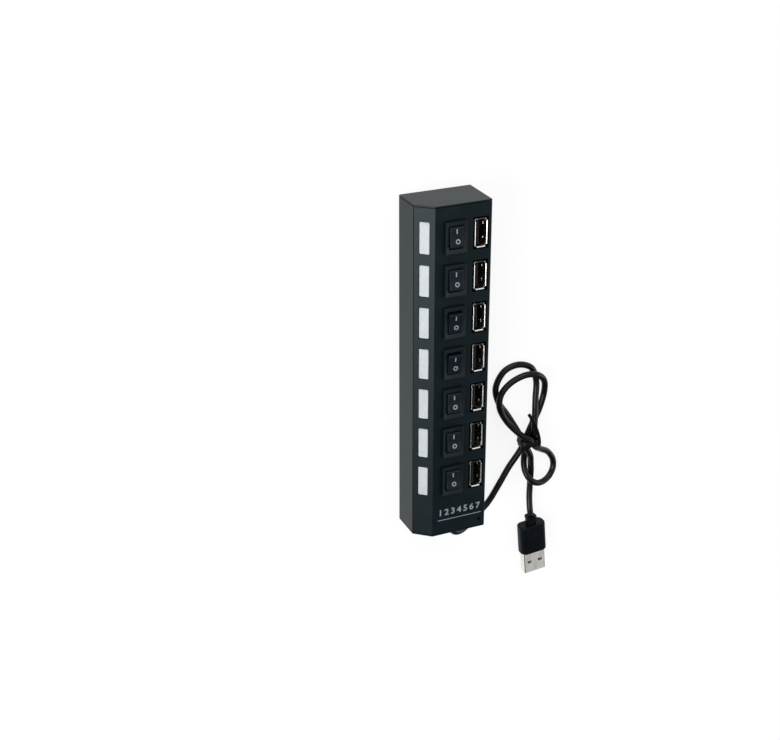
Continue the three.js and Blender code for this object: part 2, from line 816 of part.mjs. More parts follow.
// Twist tie: a band round the bundle with a loose flat end
function twistTie() {
  const [width, height] = tieInner;
  const ring = roundedRectangle(
    width + 2 * tieThickness,
    height + 2 * tieThickness,
    tieCornerRadius + tieThickness,
  );
  const inside = roundedRectangle(width, height, tieCornerRadius);
  const band = cut(
    extrudeY(ring, -tieBandWidth / 2, tieBandWidth / 2),
    extrudeY(inside, -tieBandWidth, tieBandWidth),
  ).translate(...tieCentre);
  const section = roundedRectangle(tieThickness, tieTailWidth, tieThickness / 3);
  const tail = new THREE.ExtrudeGeometry(section, {
    steps: 12,
    curveSegments: 2,
    extrudePath: new THREE.CatmullRomCurve3(tieTailPoints.map((point) => new THREE.Vector3(...point))),
    bevelEnabled: false,
  });
  return join(band, tail);
}

// Assembly
add('rear_shell', rearShell(), caseBlack);
add('front_cover', frontCover(), caseBlack);
add('top_end_cap', endCap(1), caseBlack);
add('bottom_end_cap', endCap(-1), caseBlack);
add('main_board', mainBoard(), boardGreen);
add('light_board', lightBoard(), boardGreen);

stations.forEach((station) => {
  const number = station + 1;
  const y = stationY(station);
  add(`light_window_${number}`, onChamfer(lightWindow(), y), windowWhite);

  const rockerSwitch = new THREE.Group();
  rockerSwitch.position.set(switchX, y, bodyDepth);
  part.add(rockerSwitch);
  add(`switch_housing_${number}`, switchHousing(), switchBlack, rockerSwitch);
  const paddle = add(`rocker_${number}`, rocker(), switchBlack, rockerSwitch);
  paddle.position.z = -rockerPivotBelowPanel;
  paddle.rotation.x = stationsSwitchedOn.includes(station) ? -rockerTilt : rockerTilt;

  const socket = new THREE.Group();
  socket.position.set(socketX, y, 0);
  part.add(socket);
  add(`socket_shell_${number}`, socketShell(), brightSteel, socket);
  add(`socket_tongue_${number}`, socketTongue(), tongueBlack, socket);
});

chipStations.forEach((station, i) => {
  const place = [chipX, stationY(station), boardTop + seatGap];
  add(`hub_chip_${i + 1}`, block(place, chipSize), chipBlack);
});

add(
  'crystal',
  block([crystalX, stationY(crystalStation), boardTop + seatGap], crystalSize),
  canSilver,
);
add(
  'reservoir_capacitor',
  cylinderZ(
    capacitorRadius,
    [capacitorX, stationY(stationCount - 1) - capacitorFromStation],
    boardTop + seatGap,
    boardTop + seatGap + capacitorHeight,
  ),
  canSilver,
);
screwPlaces.forEach((place, i) => add(`case_screw_${i + 1}`, caseScrew(place), canSilver));

add('strain_relief', strainRelief(), bootBlack);
add('lead', lead(), bootBlack);
add('twist_tie', twistTie(), tieBlack);
add('plug_grip', plugGrip(), bootBlack, plug);
add('plug_shell', plugShell(), brightSteel, plug);
add('plug_tongue', plugTongue(), tongueBlack, plug);

export default part;
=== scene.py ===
# A seven-socket USB hub lying on its back, its lead tied in loops beside it.
# Metres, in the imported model's frame: X across the panel, Y along the hub, Z out of the panel.
import math

import bmesh
import bpy
from mathutils import Matrix, Vector


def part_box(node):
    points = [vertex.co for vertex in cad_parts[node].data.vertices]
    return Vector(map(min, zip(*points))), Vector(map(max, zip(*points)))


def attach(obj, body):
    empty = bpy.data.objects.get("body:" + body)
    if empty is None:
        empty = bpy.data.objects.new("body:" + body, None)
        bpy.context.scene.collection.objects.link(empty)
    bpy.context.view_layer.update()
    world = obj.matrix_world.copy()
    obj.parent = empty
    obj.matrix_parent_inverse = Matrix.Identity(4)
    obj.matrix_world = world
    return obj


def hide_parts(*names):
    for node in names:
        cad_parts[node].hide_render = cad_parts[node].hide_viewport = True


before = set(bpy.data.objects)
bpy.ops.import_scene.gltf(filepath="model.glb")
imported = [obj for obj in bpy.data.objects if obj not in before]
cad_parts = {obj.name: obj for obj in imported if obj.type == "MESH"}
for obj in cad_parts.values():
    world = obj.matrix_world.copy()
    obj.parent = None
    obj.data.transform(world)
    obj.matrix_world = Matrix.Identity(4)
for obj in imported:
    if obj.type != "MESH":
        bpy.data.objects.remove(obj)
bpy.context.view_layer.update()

# Camera: high above the hub's window side, with the hub's length upright in the view. Its long
# lens keeps the hub's edges nearly parallel.
camera_place = Vector((-0.27341, 0.29365, 0.58210))
camera_top = Vector((0.17122, 0.90629, -0.38643))
camera_right = Vector((0.91749, -0.00374, 0.39774)).normalized()
camera_back = camera_right.cross(camera_top).normalized()
camera_up = camera_back.cross(camera_right)
camera = bpy.data.objects.new("camera", bpy.data.cameras.new("camera"))
camera.data.sensor_width = 36
camera.data.lens = 69.04
camera.matrix_world = (
    Matrix.Translation(camera_place)
    @ Matrix((camera_right, camera_up, camera_back)).transposed().to_4x4()
)
bpy.context.scene.collection.objects.link(camera)
bpy.context.scene.camera = camera

# Lead: a limp cable in smooth black vinyl, 3.2 mm thick. It drops from the end cap, makes a
# small loop and a large double one, and runs on to the plug.
lead_diameter = 0.0032
lead_route = [
    (0.0065, -0.0868, 0.0080),
    (0.0066, -0.0892, 0.0079), (0.0078, -0.0922, 0.0072), (0.0102, -0.0944, 0.0062),
    (0.0136, -0.0952, 0.0049), (0.0176, -0.0942, 0.0035), (0.0241, -0.0898, 0.0020),
    (0.0301, -0.0847, 0.0017), (0.0363, -0.0752, 0.0018), (0.0413, -0.0664, 0.0022),
    (0.0455, -0.0593, 0.0034), (0.0482, -0.0551, 0.0033), (0.0505, -0.0510, 0.0024),
    (0.0534, -0.0456, 0.0018), (0.0573, -0.0376, 0.0018), (0.0598, -0.0280, 0.0019),
    (0.0582, -0.0209, 0.0038), (0.0534, -0.0165, 0.0053), (0.0471, -0.0157, 0.0052),
    (0.0397, -0.0187, 0.0044), (0.0343, -0.0235, 0.0050), (0.0333, -0.0297, 0.0052),
    (0.0371, -0.0381, 0.0049), (0.0435, -0.0458, 0.0070), (0.0496, -0.0508, 0.0084),
    (0.0530, -0.0551, 0.0071), (0.0574, -0.0584, 0.0048), (0.0633, -0.0627, 0.0023),
    (0.0665, -0.0678, 0.0018), (0.0666, -0.0724, 0.0021), (0.0639, -0.0764, 0.0030),
    (0.0596, -0.0779, 0.0043), (0.0552, -0.0771, 0.0052), (0.0516, -0.0740, 0.0048),
    (0.0501, -0.0702, 0.0030), (0.0498, -0.0652, 0.0019), (0.0503, -0.0593, 0.0022),
    (0.0521, -0.0553, 0.0032), (0.0531, -0.0513, 0.0048), (0.0533, -0.0426, 0.0051),
    (0.0545, -0.0310, 0.0028), (0.0550, -0.0213, 0.0018), (0.0520, -0.0140, 0.0017),
    (0.0447, -0.0111, 0.0017), (0.0373, -0.0132, 0.0017), (0.0329, -0.0209, 0.0017),
    (0.0343, -0.0289, 0.0017), (0.0393, -0.0367, 0.0018), (0.0441, -0.0450, 0.0025),
    (0.0469, -0.0513, 0.0055), (0.0484, -0.0553, 0.0068), (0.0504, -0.0594, 0.0070),
    (0.0518, -0.0646, 0.0054), (0.0535, -0.0705, 0.0029), (0.0540, -0.0778, 0.0017),
    (0.0536, -0.0868, 0.0023), (0.0534, -0.0928, 0.0037),
    (0.05367, -0.0961, 0.0041),
]


class Level:
    """A value inside a finish: arithmetic on it adds the nodes that work it out."""

    def __init__(self, finish, socket):
        self.finish = finish
        self.socket = socket

    def maths(self, operation, *values):
        sockets = dict(enumerate(values))
        return self.finish.node("ShaderNodeMath", {"operation": operation}, sockets)

    def __add__(self, other):
        return self.maths("ADD", self, other)

    def __radd__(self, other):
        return self.maths("ADD", other, self)

    def __mul__(self, other):
        return self.maths("MULTIPLY", self, other)

    def __rmul__(self, other):
        return self.maths("MULTIPLY", other, self)


class Finish:
    """The surface of one kind of piece: a material and the nodes that shade it."""

    def __init__(self, name, color, roughness, **fixed):
        self.material = bpy.data.materials.new(name)
        self.material.use_nodes = True
        self.tree = self.material.node_tree
        self.shader = self.tree.nodes["Principled BSDF"]
        self.place = self.node("ShaderNodeTexCoord", output="Object")
        self.color = color
        self.set("Base Color", (*color, 1))
        self.set("Roughness", roughness)
        for socket, value in fixed.items():
            self.set(socket.replace("_", " "), value)

    def node(self, kind, settings=(), sockets=(), output=0):
        made = self.tree.nodes.new(kind)
        for setting, value in dict(settings).items():
            if setting == "stops":
                for element, (position, shade) in zip(made.color_ramp.elements, value):
                    element.position = position
                    element.color = (shade, shade, shade, 1)
            else:
                setattr(made, setting, value)
        for socket, value in dict(sockets).items():
            self.feed(made.inputs[socket], value)
        return Level(self, made.outputs[output])

    def feed(self, socket, value):
        if isinstance(value, Level):
            self.tree.links.new(value.socket, socket)
        else:
            socket.default_value = value

    def set(self, socket, value):
        self.feed(self.shader.inputs[socket], value)

    def grain(self, size, detail=2.0, stretch=(1, 1, 1)):
        """Soft noise, its lumps about this many metres across."""
        place = self.node("ShaderNodeMapping", {}, {"Vector": self.place, "Scale": stretch})
        sockets = {"Vector": place, "Scale": 1 / size, "Detail": detail}
        return self.node("ShaderNodeTexNoise", {}, sockets)

    def band(self, level, low, high):
        """0 below low and 1 above high, with an even slope between."""
        sockets = {"Value": level, "From Min": low, "From Max": high}
        return self.node("ShaderNodeMapRange", {"clamp": True}, sockets)

    def tinted(self, mask, color):
        """The finish's own colour, turning to another where the mask is 1."""
        mixed = self.node(
            "ShaderNodeMix",
            {"data_type": "RGBA"},
            {0: mask, 6: (*self.color, 1), 7: (*color, 1)},
            output=2,
        )
        self.set("Base Color", mixed)

    def bumped(self, height, depth):
        """Relief this many metres deep."""
        self.set("Normal", self.node("ShaderNodeBump", {}, {"Height": height, "Distance": depth}))


def smooth_line(points, steps):
    """Points on the curve through these points, timed by the square root of their spacing."""
    points = [Vector(point) for point in points]
    points = [2 * points[0] - points[1], *points, 2 * points[-1] - points[-2]]
    line = []
    for before, start, end, after in zip(points, points[1:], points[2:], points[3:]):
        pairs = ((before, start), (start, end), (end, after))
        first, span, last = [max((b - a).length, 1e-9) ** 0.5 for a, b in pairs]
        forward = (end - start) / span
        leave = (start - before) / first - (end - before) / (first + span) + forward
        arrive = forward - (after - start) / (span + last) + (after - end) / last
        for step in range(steps):
            t = step / steps
            line.append(
                (2 * t**3 - 3 * t**2 + 1) * start
                + (t**3 - 2 * t**2 + t) * span * leave
                + (3 * t**2 - 2 * t**3) * end
                + (t**3 - t**2) * span * arrive
            )
    line.append(points[-2])
    return line


def line_curve(name, points, cyclic=False):
    """A curve of one spline along these points."""
    curve = bpy.data.curves.new(name, "CURVE")
    curve.dimensions = "3D"
    curve.use_fill_caps = True
    spline = curve.splines.new("POLY")
    spline.points.add(len(points) - 1)
    for spot, point in zip(spline.points, points):
        spot.co = (*point, 1)
    spline.use_cyclic_u = cyclic
    return curve


def placed(name, data, finish, body):
    """An object for this mesh or curve, in its finish, riding on a body of the model."""
    piece = bpy.data.objects.new(name, data)
    bpy.context.scene.collection.objects.link(piece)
    data.materials.clear()
    data.materials.append(finish.material)
    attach(piece, body)
    return piece


vinyl = Finish("lead_vinyl", (0.0016, 0.0022, 0.0028), 0.25, Specular_IOR_Level=0.18)
vinyl_wear = vinyl.grain(0.004, 3)
vinyl.tinted(vinyl.band(vinyl_wear, 0.45, 0.75), (0.005, 0.006, 0.007))
vinyl.set("Roughness", 0.20 + 0.12 * vinyl_wear)
vinyl.bumped(vinyl.grain(0.0009), 0.000006)

lead_line = smooth_line(lead_route, 8)
lead_length = sum((b - a).length for a, b in zip(lead_line, lead_line[1:]))
lead_curve = line_curve("lead_sheath", lead_line)
lead_curve.bevel_depth = lead_diameter / 2
lead_curve.bevel_resolution = 4
lead = placed("lead_sheath", lead_curve, vinyl, "hub")
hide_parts("lead")

# Strain relief: a short boot in soft vinyl, moulded round the lead. Its flange sits behind the
# end cap and its neck fills the cap's hole.
relief_low, relief_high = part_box("strain_relief")
relief_centre = Vector(((relief_low.x + relief_high.x) / 2, 0, (relief_low.z + relief_high.z) / 2))
relief_flange = (relief_high.x - relief_low.x) / 2
relief_flange_front = relief_high.y - 0.0015
relief_neck = 0.0026
relief_skirt_back = relief_low.y + 0.0030
relief_profile = [
    (0.0, relief_high.y), (relief_flange, relief_high.y), (relief_flange, relief_flange_front),
    (relief_neck, relief_flange_front), (relief_neck, relief_skirt_back),
    (0.0029, relief_skirt_back), (0.0030, relief_low.y + 0.0027),
    (0.00265, relief_low.y + 0.0015), (0.00225, relief_low.y + 0.0002),
    (0.00205, relief_low.y), (0.0, relief_low.y),
]


def finished(name, bm, finish, body, crease=30):
    """A piece from this bmesh, smooth except where faces meet at more than the crease angle."""
    mesh = bpy.data.meshes.new(name)
    for face in bm.faces:
        face.smooth = True
    bm.to_mesh(mesh)
    bm.free()
    mesh.set_sharp_from_angle(angle=math.radians(crease))
    piece = placed(name, mesh, finish, body)
    piece.modifiers.new("even_shading", "WEIGHTED_NORMAL").keep_sharp = True
    return piece


def spun(profile, centre, axis, zero, steps):
    """A closed solid turned from a profile of (radius, distance along the axis)."""
    bm = bmesh.new()
    corners = [bm.verts.new(centre + zero * radius + axis * along) for radius, along in profile]
    edges = [bm.edges.new(pair) for pair in zip(corners, corners[1:])]
    bmesh.ops.spin(
        bm, geom=corners + edges, cent=centre, axis=axis, dvec=(0, 0, 0), angle=2 * math.pi,
        steps=steps, use_merge=True, use_duplicate=False,
    )
    bmesh.ops.remove_doubles(bm, verts=bm.verts, dist=1e-6)
    bmesh.ops.recalc_face_normals(bm, faces=bm.faces)
    return bm


relief = finished(
    "strain_relief_boot",
    spun(relief_profile, relief_centre, Vector((0, 1, 0)), Vector((1, 0, 0)), 40),
    vinyl, "hub",
)
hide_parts("strain_relief")

# Twist tie: a flat strip of glossy black plastic with a wire in it. It goes twice round the four
# strands where the loops cross. Its ends are twisted into two leaves, and one runs on loose.
tie_centre = Vector((0.0499, -0.0524, 0.0053))
tie_half = Vector((0.0046, 0, 0.0042))
tie_corner = 0.0029
tie_corner_steps = 6
tie_waver = 0.0003
tie_thickness = 0.0005
leaf_taper = 0.84
leaf_taper_power = 1.15
leaf_twist = 0.045
loose_end_half_width = 0.00085
loose_end_thickness = 0.00055
loose_end_turn = -0.75
loose_end_twist = 0.02

tie_plastic = Finish("tie_plastic", (0.0016, 0.0018, 0.0022), 0.28, Specular_IOR_Level=0.12)
tie_crinkle = tie_plastic.grain(0.0011, 3)
tie_plastic.set("Roughness", 0.2 + 0.25 * tie_crinkle)
tie_plastic.bumped(tie_crinkle, 0.0002)


def strip(name, points, half_width, thickness, turns, tapers=None, cyclic=False):
    """A flat strip with rounded edges along these points.

    Each point has a turn from lying flat and, if given, a share of the full width.
    """
    curve = line_curve(name, points, cyclic)
    curve.extrude = half_width - thickness / 2
    curve.bevel_depth = thickness / 2
    curve.bevel_resolution = 2
    curve.twist_mode = "MINIMUM"
    tapers = tapers or [1.0] * len(points)
    for spot, turn, taper in zip(curve.splines[0].points, turns, tapers):
        spot.tilt = math.pi / 2 + turn
        spot.radius = taper
    holder = bpy.data.objects.new(name, curve)
    mesh = bpy.data.meshes.new_from_object(holder)
    bpy.data.objects.remove(holder)
    bm = bmesh.new()
    bm.from_mesh(mesh)
    bpy.data.meshes.remove(mesh)
    bmesh.ops.remove_doubles(bm, verts=bm.verts, dist=1e-6)
    bmesh.ops.recalc_face_normals(bm, faces=bm.faces)
    return bm


def gathered(parts):
    """One bmesh of several, each moved by its own matrix."""
    whole = bmesh.new()
    for part, move in parts:
        bmesh.ops.transform(part, matrix=move, verts=part.verts)
        mesh = bpy.data.meshes.new("part")
        part.to_mesh(mesh)
        part.free()
        whole.from_mesh(mesh)
        bpy.data.meshes.remove(mesh)
    return whole


tie_turns = []
for lean, grow, half_width in ((0.10, 0.0, 0.0015), (-0.24, 0.0003, 0.0011)):
    ring = []
    for quarter, (sign_x, sign_z) in enumerate(((1, -1), (1, 1), (-1, 1), (-1, -1))):
        corner_x = sign_x * (tie_half.x - tie_corner)
        corner_z = sign_z * (tie_half.z - tie_corner)
        for step in range(tie_corner_steps + 1):
            angle = math.radians(-90 + 90 * quarter + 90 * step / tie_corner_steps)
            across = corner_x + (tie_corner + grow) * math.cos(angle)
            along = lean * across + tie_waver * math.sin(5 * angle)
            up = corner_z + (tie_corner + grow) * math.sin(angle)
            ring.append(tie_centre + Vector((across, along, up)))
    turn = strip("turn", ring, half_width, tie_thickness, [0.0] * len(ring), cyclic=True)
    tie_turns.append((turn, Matrix()))
tie_band = finished("twist_tie_band", gathered(tie_turns), tie_plastic, "hub")
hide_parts("twist_tie")

wide_leaf = [
    (0.0504, -0.0522, 0.0058), (0.0499, -0.0490, 0.0062), (0.0495, -0.0462, 0.0068),
    (0.0490, -0.0418, 0.0076), (0.0486, -0.0379, 0.0086),
]
narrow_leaf = [
    (0.0496, -0.0524, 0.0052), (0.0488, -0.0490, 0.0066), (0.0489, -0.0455, 0.0079),
    (0.0490, -0.0415, 0.0086), (0.0487, -0.0384, 0.0090),
]
tie_leaves = []
for leaf_points, turn, half_width in ((wide_leaf, 0.25, 0.0029), (narrow_leaf, -0.5, 0.0016)):
    leaf = smooth_line(leaf_points, 5)
    last = len(leaf) - 1
    tapers = [1.0 - leaf_taper * (i / last) ** leaf_taper_power for i in range(len(leaf))]
    turns = [turn + leaf_twist * i for i in range(len(leaf))]
    tie_leaves.append((strip("leaf", leaf, half_width, tie_thickness, turns, tapers), Matrix()))
tie_bow = finished("twist_tie_bow", gathered(tie_leaves), tie_plastic, "hub")

end_line = smooth_line([
    (0.0522, -0.0548, 0.0094), (0.0534, -0.0528, 0.0102), (0.0531, -0.0490, 0.0105),
    (0.0519, -0.0445, 0.0103), (0.0502, -0.0401, 0.0099), (0.0487, -0.0372, 0.0096),
    (0.0474, -0.0351, 0.0094),
], 8)
end_turns = [loose_end_twist * i + loose_end_turn for i in range(len(end_line))]
end_bm = strip("loose_end", end_line, loose_end_half_width, loose_end_thickness, end_turns)
tie_end = finished("twist_tie_loose_end", end_bm, tie_plastic, "hub")

# Plug grip: soft vinyl moulded over the back of the plug, flat above and below with full round
# sides, and a stepped collar where the lead goes in.
plug_origin = Vector((0.0537, -0.0964, 0.0041))
plug_turn = Matrix.Translation(plug_origin) @ Matrix.Rotation(math.radians(5), 4, "Z")
grip_size = Vector((0.0144, 0.0162, 0.0076))
grip_back = -0.0045
grip_front = grip_back - grip_size.y
grip_side_radius = 0.0030
grip_end_radius = 0.0007
collar_half = Vector((0.0025, 0, 0.0024))
collar_sink = 0.0003
collar_end = -0.0011
collar_radius = 0.0014
flange_half = Vector((0.0028, 0, 0.0027))
flange_start = -0.0012
flange_radius = 0.0017
flange_end_radius = 0.0003

grip_vinyl = Finish("grip_vinyl", (0.0016, 0.0028, 0.0040), 0.38, Specular_IOR_Level=0.07)
grip_grain = grip_vinyl.grain(0.0005, 3)
grip_vinyl.tinted(grip_vinyl.band(grip_vinyl.grain(0.005), 0.4, 0.8), (0.0030, 0.0045, 0.0062))
grip_vinyl.set("Roughness", 0.30 + 0.14 * grip_grain)
grip_vinyl.bumped(grip_grain, 0.000008)


def rounded_block(low, high, side_radius, end_radius, segments=6, along=1):
    """A block with its four edges along one axis rounded, and then the rims of its two ends."""
    bm = bmesh.new()
    size = Vector(high) - Vector(low)
    middle = Matrix.Translation((Vector(low) + Vector(high)) / 2)
    bmesh.ops.create_cube(bm, size=1, matrix=middle @ Matrix.Diagonal((*size, 1)))
    runs = [e for e in bm.edges if abs((e.verts[0].co - e.verts[1].co)[along]) > size[along] / 2]
    bmesh.ops.bevel(
        bm, geom=runs, offset=side_radius, segments=segments, profile=0.5, affect="EDGES",
        material=-1,
    )
    if end_radius:
        ends = [
            e for e in bm.edges
            if abs(e.verts[0].co[along] - e.verts[1].co[along]) < 1e-7 and len(e.link_faces) == 2
            and any(abs(f.normal[along]) > 0.9 for f in e.link_faces)
        ]
        bmesh.ops.bevel(
            bm, geom=ends, offset=end_radius, segments=3, profile=0.5, affect="EDGES", material=-1
        )
    return bm


def grip_piece(name, half, start, end, side_radius, end_radius):
    """A rounded block of the grip's vinyl between two places on the plug's own axis."""
    bm = rounded_block(
        (-half.x, start, -half.z), (half.x, end, half.z), side_radius, end_radius
    )
    bmesh.ops.transform(bm, matrix=plug_turn, verts=bm.verts)
    return finished(name, bm, grip_vinyl, "hub")


grip = grip_piece(
    "plug_grip_moulding", grip_size / 2, grip_front, grip_back, grip_side_radius, grip_end_radius
)
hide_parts("plug_grip")
collar = grip_piece(
    "plug_collar", collar_half, grip_back - collar_sink, collar_end, collar_radius, 0
)
flange = grip_piece(
    "plug_collar_flange", flange_half, flange_start, 0.0, flange_radius, flange_end_radius
)

# Plug shell: nickel-plated sheet steel folded into a flat tube, with two latch windows in each
# broad face. Its back end is held in the grip.
nickel = Finish("nickel_plate", (0.80, 0.785, 0.745), 0.16, Metallic=1.0)
nickel_haze = nickel.grain(0.0022, 4, (1, 0.25, 1))
nickel.set("Roughness", 0.12 + 0.16 * nickel_haze)
nickel.tinted(nickel.band(nickel_haze, 0.55, 0.85), (0.70, 0.68, 0.63))


def softened(node, width, segments, crease=30):
    """A bmesh of a CAD node with its flat faces whole and its sharp edges rounded."""
    bm = bmesh.new()
    bm.from_mesh(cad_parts[node].data)
    bmesh.ops.remove_doubles(bm, verts=bm.verts, dist=2e-6)
    bmesh.ops.dissolve_limit(
        bm, angle_limit=math.radians(1), use_dissolve_boundaries=False,
        verts=bm.verts, edges=bm.edges, delimit=set(),
    )
    sharp = [
        e for e in bm.edges
        if len(e.link_faces) == 2 and e.calc_face_angle() > math.radians(crease)
    ]
    bmesh.ops.bevel(
        bm, geom=sharp, offset=width, segments=segments, profile=0.5, affect="EDGES", material=-1,
        clamp_overlap=True,
    )
    return bm


plug_edge = 0.00008
plug_shell_bm = softened("plug_shell", plug_edge, 2)
plug_shell = finished("plug_shell_sheet", plug_shell_bm, nickel, "hub")
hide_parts("plug_shell")

# Plug tongue: an ivory plastic block inside the shell with four gold-plated contacts. The sockets
# have theirs in black.
contact_plastic = Finish("contact_plastic", (0.0045, 0.0042, 0.0040), 0.45, Specular_IOR_Level=0.2)
contact_grain = contact_plastic.grain(0.0006, 3)
contact_plastic.set("Roughness", 0.38 + 0.18 * contact_grain)
contact_plastic.bumped(contact_grain, 0.00002)

gold = Finish("gold_plate", (0.83, 0.60, 0.26), 0.2, Metallic=1.0)
gold.set("Roughness", 0.16 + 0.14 * gold.grain(0.0008, 3))

ivory_plastic = Finish("ivory_plastic", (0.46, 0.42, 0.34), 0.4)
ivory_plastic.tinted(ivory_plastic.band(ivory_plastic.grain(0.002), 0.4, 0.7), (0.40, 0.37, 0.30))
ivory_bm = softened("plug_tongue", plug_edge, 2)
plug_tongue = finished("plug_tongue_block", ivory_bm, ivory_plastic, "hub")
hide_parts("plug_tongue")

plug_shell_height = 0.0045
plug_shell_reach = 0.0117
plug_sheet = 0.0003
plug_tongue_gap = 0.00012
plug_tongue_thickness = 0.0019
plug_contact_half_width = 0.0005
plug_contact_thickness = 0.00025
plug_contact_setback = 0.0010
contact_spots = (-0.0035, -0.001, 0.001, 0.0035)
plug_contact_lengths = (0.0085, 0.0075, 0.0075, 0.0085)
contact_tip = grip_front - plug_shell_reach + plug_contact_setback
contact_seat = -plug_shell_height / 2 + plug_sheet + plug_tongue_gap + plug_tongue_thickness
contact_turn = plug_turn @ Matrix.Translation((0, 0, contact_seat))
contact_strips = []
for spot, reach in zip(contact_spots, plug_contact_lengths):
    contact = rounded_block(
        (spot - plug_contact_half_width, contact_tip, 0.0),
        (spot + plug_contact_half_width, contact_tip + reach, plug_contact_thickness),
        plug_edge, 0,
    )
    contact_strips.append((contact, contact_turn))
plug_contacts = finished("plug_contacts", gathered(contact_strips), gold, "hub")

# Case: rear shell, front cover and two end caps, moulded in black ABS with a fine spark-eroded
# texture. The cover's lip drops inside the rear shell; the caps push into the ends.
case_plastic = Finish(
    "case_plastic", (0.0015, 0.0046, 0.0066), 0.40, Specular_IOR_Level=0.18,
    Specular_Tint=(0.83, 0.98, 1, 1),
)
case_texture = case_plastic.grain(0.00032, 2)
case_cloud = case_plastic.grain(0.011, 4)
case_plastic.tinted(case_plastic.band(case_cloud, 0.42, 0.72), (0.0027, 0.0066, 0.0090))
case_plastic.set("Roughness", 0.28 + 0.12 * case_texture + 0.06 * case_cloud)
case_plastic.bumped(case_texture, 0.000012)

case_edge = 0.00012
for node in ("rear_shell", "front_cover", "top_end_cap", "bottom_end_cap"):
    case_bm = softened(node, case_edge, 2)
    piece = finished(node + "_moulding", case_bm, case_plastic, "hub")
    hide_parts(node)

# Circuit boards: glass-epoxy with green solder mask, on the rear shell's ribs and ledge, with
# the two hub chips, the crystal's can and the reservoir capacitor.
solder_mask = Finish("solder_mask", (0.012, 0.085, 0.032), 0.35)
solder_mask.tinted(solder_mask.band(solder_mask.grain(0.0018, 1), 0.5, 0.54), (0.018, 0.125, 0.048))
solder_mask.bumped(solder_mask.grain(0.0009), 0.00003)
chip_epoxy = Finish("chip_epoxy", (0.015, 0.015, 0.016), 0.5)
chip_epoxy.bumped(chip_epoxy.grain(0.0003), 0.00002)
can_metal = Finish("can_metal", (0.62, 0.63, 0.64), 0.3, Metallic=1.0)
can_metal.set("Roughness", 0.24 + 0.18 * can_metal.grain(0.0012, 3))


def coat(node, finish):
    """Give a CAD node's own mesh this finish."""
    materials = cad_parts[node].data.materials
    materials.clear()
    materials.append(finish.material)


for node, finish in (
    ("main_board", solder_mask), ("light_board", solder_mask), ("hub_chip_1", chip_epoxy),
    ("hub_chip_2", chip_epoxy), ("crystal", can_metal), ("reservoir_capacitor", can_metal),
):
    coat(node, finish)

# Case screws: four screws in zinc-plated steel. They are driven up through the back of the rear
# shell into the front cover's posts.
zinc = Finish("zinc_plate", (0.58, 0.58, 0.56), 0.35, Metallic=1.0)
zinc.set("Roughness", 0.28 + 0.2 * zinc.grain(0.0007, 3))
for number in range(1, 5):
    coat(f"case_screw_{number}", zinc)

# Light windows: milky polycarbonate, one for each socket. Each is pushed into its opening in the
# chamfer from inside, in front of the light board.
window_plastic = Finish("window_plastic", (0.40, 0.42, 0.435), 0.32, Specular_IOR_Level=0.3)
window_cloud = window_plastic.grain(0.003, 2)
window_plastic.tinted(window_plastic.band(window_cloud, 0.4, 0.7), (0.365, 0.385, 0.40))
window_plastic.set("Roughness", 0.26 + 0.12 * window_cloud)
window_edge = 0.0001
for number in range(1, 8):
    node = f"light_window_{number}"
    lens_bm = softened(node, window_edge, 2)
    piece = finished(node + "_lens", lens_bm, window_plastic, "hub")
    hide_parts(node)

# Rocker switches: a nylon housing that snaps into the panel, and a nylon rocker on two pins. The
# legends are printed in pale ink: a bar at the top end, a ring at the lead end.
housing_nylon = Finish("housing_nylon", (0.0024, 0.0050, 0.0072), 0.34, Specular_IOR_Level=0.34)
rocker_nylon = Finish("rocker_nylon", (0.0022, 0.0058, 0.0090), 0.30, Specular_IOR_Level=0.18)
for nylon in (housing_nylon, rocker_nylon):
    nylon_grain = nylon.grain(0.0005, 3)
    nylon.set("Roughness", 0.26 + 0.12 * nylon_grain)
    nylon.bumped(nylon_grain, 0.000004)
legend_ink = Finish("legend_ink", (0.21, 0.235, 0.265), 0.5)
legend_ink.set("Roughness", 0.44 + 0.16 * legend_ink.grain(0.0004, 3))

rocker_half = Vector((0.00335, 0.0049, 0.0034))
rocker_dish = 0.00035
rocker_slope = math.atan2(rocker_dish, rocker_half.y)
rocker_valley_softness = 0.0064
rocker_edge = 0.00022
rocker_tilt = 6
pivot_height = 0.0219
end_roll_radius = 0.0011
end_roll_length = 0.00095
housing_edge = 0.00016
legend_thickness = 0.00003
legend_sink = 0.00001
bar_half_width = 0.00027
bar_half_length = 0.0011
bar_corner = 0.0001
bar_spot = (-0.00015, 0.00285)
ring_outer = 0.00112
ring_inner = 0.00066
ring_spot = (0.0002, -0.00185)


def crown_height(along):
    """Height of the rocker's top above its pivot: a soft valley, and ends that roll down."""
    share = abs(along) / rocker_half.y
    roll = max(0.0, abs(along) - rocker_half.y + end_roll_length)
    sunk = end_roll_radius - (end_roll_radius**2 - roll**2) ** 0.5
    valley = 1 - (share**2 + rocker_valley_softness) ** 0.5
    return rocker_half.z - rocker_dish * valley - sunk


